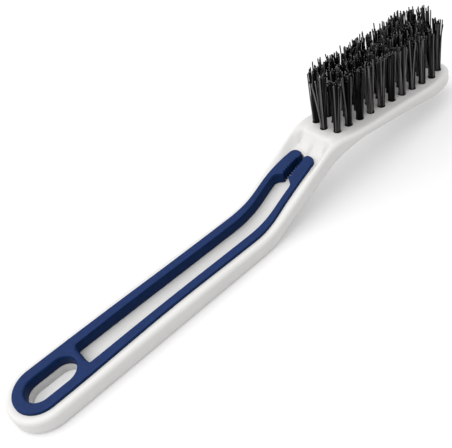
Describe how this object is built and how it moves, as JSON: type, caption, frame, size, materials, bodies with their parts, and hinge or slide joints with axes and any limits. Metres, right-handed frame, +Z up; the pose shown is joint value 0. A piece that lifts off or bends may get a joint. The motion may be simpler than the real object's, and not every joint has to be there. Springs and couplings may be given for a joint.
{
  "type": "grout brush",
  "caption": "Cranked hand brush for tile joints, with stiff black bristles in rows and lift-out toothed tweezers lying in its handle.",
  "frame": {"origin": "on the surface under the brush's grip, under the middle of its length and width", "axes": "+X from the butt to the head, +Z up with the bristles, +Y to the left when looking from the butt to the head"},
  "size_m": [0.204, 0.024, 0.0436],
  "materials": {
    "handle": "white moulded polypropylene, softly glossy",
    "tweezers": "navy blue moulded plastic, satin",
    "bristles": "black nylon filament",
    "anchors": "plated steel strip"
  },
  "bodies": {
    "handle": {"handle_body": "handle", "tuft_anchors": "anchors", "tuft_front_1": "bristles", "tuft_front_2": "bristles", "tuft_front_3": "bristles", "tuft_front_4": "bristles", "tuft_front_5": "bristles", "tuft_front_6": "bristles", "tuft_front_7": "bristles", "tuft_front_8": "bristles", "tuft_front_9": "bristles", "tuft_front_10": "bristles", "tuft_front_11": "bristles", "tuft_middle_1": "bristles", "tuft_middle_2": "bristles", "tuft_middle_3": "bristles", "tuft_middle_4": "bristles", "tuft_middle_5": "bristles", "tuft_middle_6": "bristles", "tuft_middle_7": "bristles", "tuft_middle_8": "bristles", "tuft_middle_9": "bristles", "tuft_middle_10": "bristles", "tuft_back_1": "bristles", "tuft_back_2": "bristles", "tuft_back_3": "bristles", "tuft_back_4": "bristles", "tuft_back_5": "bristles", "tuft_back_6": "bristles", "tuft_back_7": "bristles", "tuft_back_8": "bristles", "tuft_back_9": "bristles", "tuft_back_10": "bristles", "tuft_back_11": "bristles"},
    "tweezers": {"tweezers_loop": "tweezers"},
    "arm_left": {"tweezers_arm_left": "tweezers"},
    "arm_right": {"tweezers_arm_right": "tweezers"}
  },
  "joints": [
    {"name": "tweezers_lift", "type": "slide", "parent": "handle", "child": "tweezers", "axis": [0, 0, 1], "range_m": [0, 0.045]},
    {"name": "arm_left_squeeze", "type": "hinge", "parent": "tweezers", "child": "arm_left", "pos_m": [-0.07265, 0.00684, 0.0055], "axis": [0, 0, -1], "range_deg": [0, 0.5], "stiffness_Nm_per_rad": 5},
    {"name": "arm_right_squeeze", "type": "hinge", "parent": "tweezers", "child": "arm_right", "pos_m": [-0.07265, -0.00684, 0.0055], "axis": [0, 0, 1], "range_deg": [0, 0.5], "stiffness_Nm_per_rad": 5}
  ],
  "couplings": [
    {"joint": "arm_right_squeeze", "follows": "arm_left_squeeze", "ratio": 1}
  ]
}
